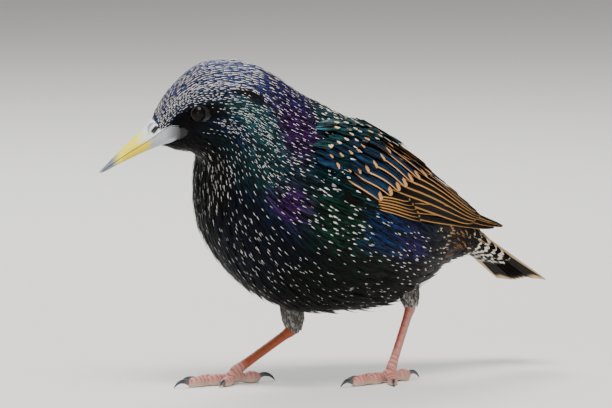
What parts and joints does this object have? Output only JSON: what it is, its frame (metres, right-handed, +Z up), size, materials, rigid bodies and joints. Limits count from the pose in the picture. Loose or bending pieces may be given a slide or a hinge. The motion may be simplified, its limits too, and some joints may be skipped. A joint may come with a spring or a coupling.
{
  "type": "common starling model",
  "caption": "Life-size still model of a common starling in winter plumage, standing in a walking stance with its wings folded.",
  "frame": {"origin": "on the floor under the middle of the bird's bounding box", "axes": "+Z up; the bird faces -X, its left side is towards -Y"},
  "size_m": [0.1696, 0.0682, 0.1148],
  "materials": {
    "plumage": "glossy black body feathers with green and purple sheen and pale spots",
    "wing_feathers": "black-brown flight feathers with buff edges",
    "tail_feathers": "dark brown tail feathers with pale buff edges",
    "thigh_feathers": "short grey-white mottled feathers",
    "bill": "satin horn, whitish base, yellow middle and blue-grey tip",
    "eye": "wet near-black brown eye",
    "leg_skin": "scaled pink to orange-brown leg skin",
    "claw": "dark blue-grey horn"
  },
  "bodies": {
    "root": {"head": "plumage", "neck": "plumage", "torso": "plumage", "eye_left": "eye", "eye_right": "eye", "bill_upper": "bill", "bill_lower": "bill", "wing_left": "wing_feathers", "wing_right": "wing_feathers", "tail": "tail_feathers", "thigh_left": "thigh_feathers", "thigh_right": "thigh_feathers", "tarsus_left": "leg_skin", "tarsus_right": "leg_skin", "foot_left": "leg_skin", "foot_right": "leg_skin", "claw_left_middle": "claw", "claw_left_inner": "claw", "claw_left_outer": "claw", "claw_left_hind": "claw", "claw_right_middle": "claw", "claw_right_inner": "claw", "claw_right_outer": "claw", "claw_right_hind": "claw"}
  },
  "joints": []
}
